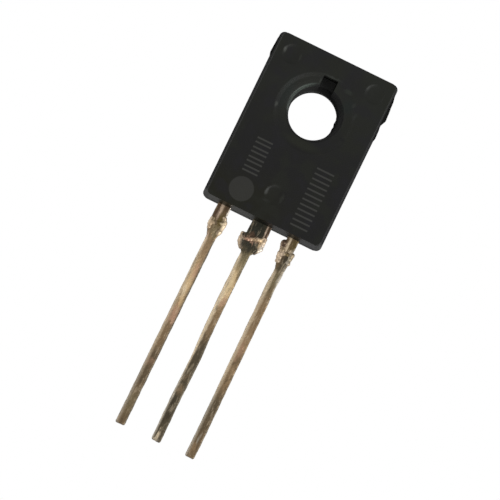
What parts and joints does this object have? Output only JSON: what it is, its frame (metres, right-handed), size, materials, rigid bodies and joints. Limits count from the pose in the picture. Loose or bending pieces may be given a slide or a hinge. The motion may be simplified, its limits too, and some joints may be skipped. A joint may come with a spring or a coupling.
{
  "type": "thyristor",
  "caption": "Small thyristor in a flat moulded plastic case with a screw hole and a bare mounting tab on its back, with a row of straight flat leads for switching current.",
  "frame": {"origin": "axis of the screw hole at the flat back face, the one that lies on a heat sink", "axes": "+Z out of the front face along the screw hole, +Y from the leads to the case's top end, +X to the right when the front face is seen with the leads down"},
  "size_m": [0.0079, 0.0252, 0.0025],
  "materials": {
    "case_plastic": "fine satin moulded epoxy",
    "frame_copper": "worn tinned copper, brown and pale gold",
    "cathode_copper": "worn tinned copper, golden with a pink tinge",
    "gate_copper": "worn tinned copper, tan and brown",
    "silicon": "polished dark grey",
    "solder": "dull",
    "bond_wire": "bright drawn wire",
    "old_solder": "rough, dull and stained"
  },
  "bodies": {
    "root": {"moulded_case": "case_plastic", "anode_frame": "frame_copper", "cathode_lead": "cathode_copper", "gate_lead": "gate_copper", "silicon_die": "silicon", "die_solder": "solder", "cathode_wire": "bond_wire", "gate_wire": "bond_wire", "cathode_solder": "old_solder", "anode_solder": "old_solder", "gate_solder": "old_solder"}
  },
  "joints": []
}
